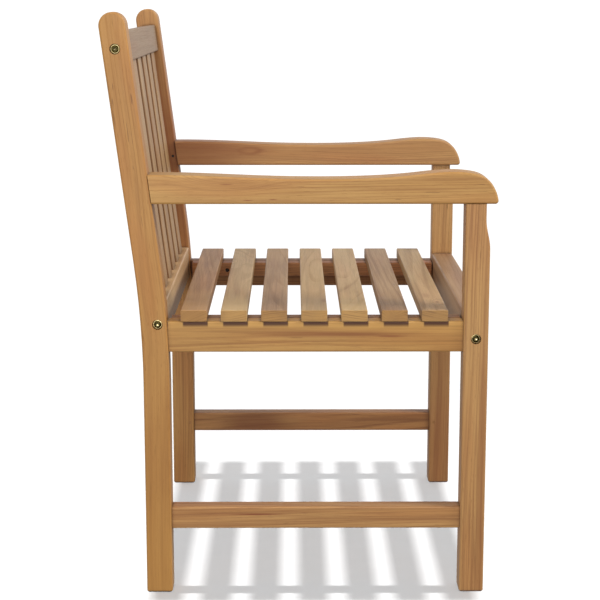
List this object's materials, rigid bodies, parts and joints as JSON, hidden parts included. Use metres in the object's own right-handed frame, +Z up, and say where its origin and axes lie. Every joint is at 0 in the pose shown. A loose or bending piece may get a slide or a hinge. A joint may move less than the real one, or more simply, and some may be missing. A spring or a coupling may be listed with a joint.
{
  "type": "garden bench",
  "caption": "Compact slatted teak garden bench, armchair width, with a raked slat back, dipped round-nosed arms, bolted rails and side stretchers.",
  "frame": {"origin": "on the floor, under the middle of the outer box", "axes": "+Z up, +X across the seat towards the sitter's left, +Y towards the back; the sitter faces -Y"},
  "size_m": [0.58, 0.5959, 0.9],
  "materials": {
    "teak_frame": "oiled teak, golden brown",
    "teak_arms": "oiled teak, golden brown",
    "teak_back_slats": "dry planed teak, pale tan",
    "teak_seat_slats": "dry planed teak, pale tan",
    "dowel_wood": "turned hardwood dowel",
    "bolt_finish": "yellow zinc plated steel",
    "screw_finish": "plated steel",
    "pin_steel": "dull dark steel"
  },
  "bodies": {
    "root": {"right_rear_post": "teak_frame", "right_front_leg": "teak_frame", "right_armrest": "teak_arms", "right_side_rail": "teak_frame", "right_stretcher": "teak_frame", "right_seat_batten": "teak_frame", "left_rear_post": "teak_frame", "left_front_leg": "teak_frame", "left_armrest": "teak_arms", "left_side_rail": "teak_frame", "left_stretcher": "teak_frame", "left_seat_batten": "teak_frame", "crest_rail": "teak_frame", "rear_rail": "teak_frame", "front_rail": "teak_frame", "back_slat_1": "teak_back_slats", "back_slat_2": "teak_back_slats", "back_slat_3": "teak_back_slats", "back_slat_4": "teak_back_slats", "back_slat_5": "teak_back_slats", "back_slat_6": "teak_back_slats", "seat_slat_1": "teak_seat_slats", "seat_slat_2": "teak_seat_slats", "seat_slat_3": "teak_seat_slats", "seat_slat_4": "teak_seat_slats", "seat_slat_5": "teak_seat_slats", "seat_slat_6": "teak_seat_slats", "seat_slat_7": "teak_seat_slats", "crest_bolts": "bolt_finish", "crest_barrel_nuts": "bolt_finish", "crest_dowels": "dowel_wood", "rear_rail_bolts": "bolt_finish", "rear_rail_barrel_nuts": "bolt_finish", "rear_rail_dowels": "dowel_wood", "front_rail_bolts": "bolt_finish", "front_rail_barrel_nuts": "bolt_finish", "front_rail_dowels": "dowel_wood", "tenon_pins": "pin_steel", "seat_slat_screws": "screw_finish", "batten_screws": "screw_finish"}
  },
  "joints": []
}
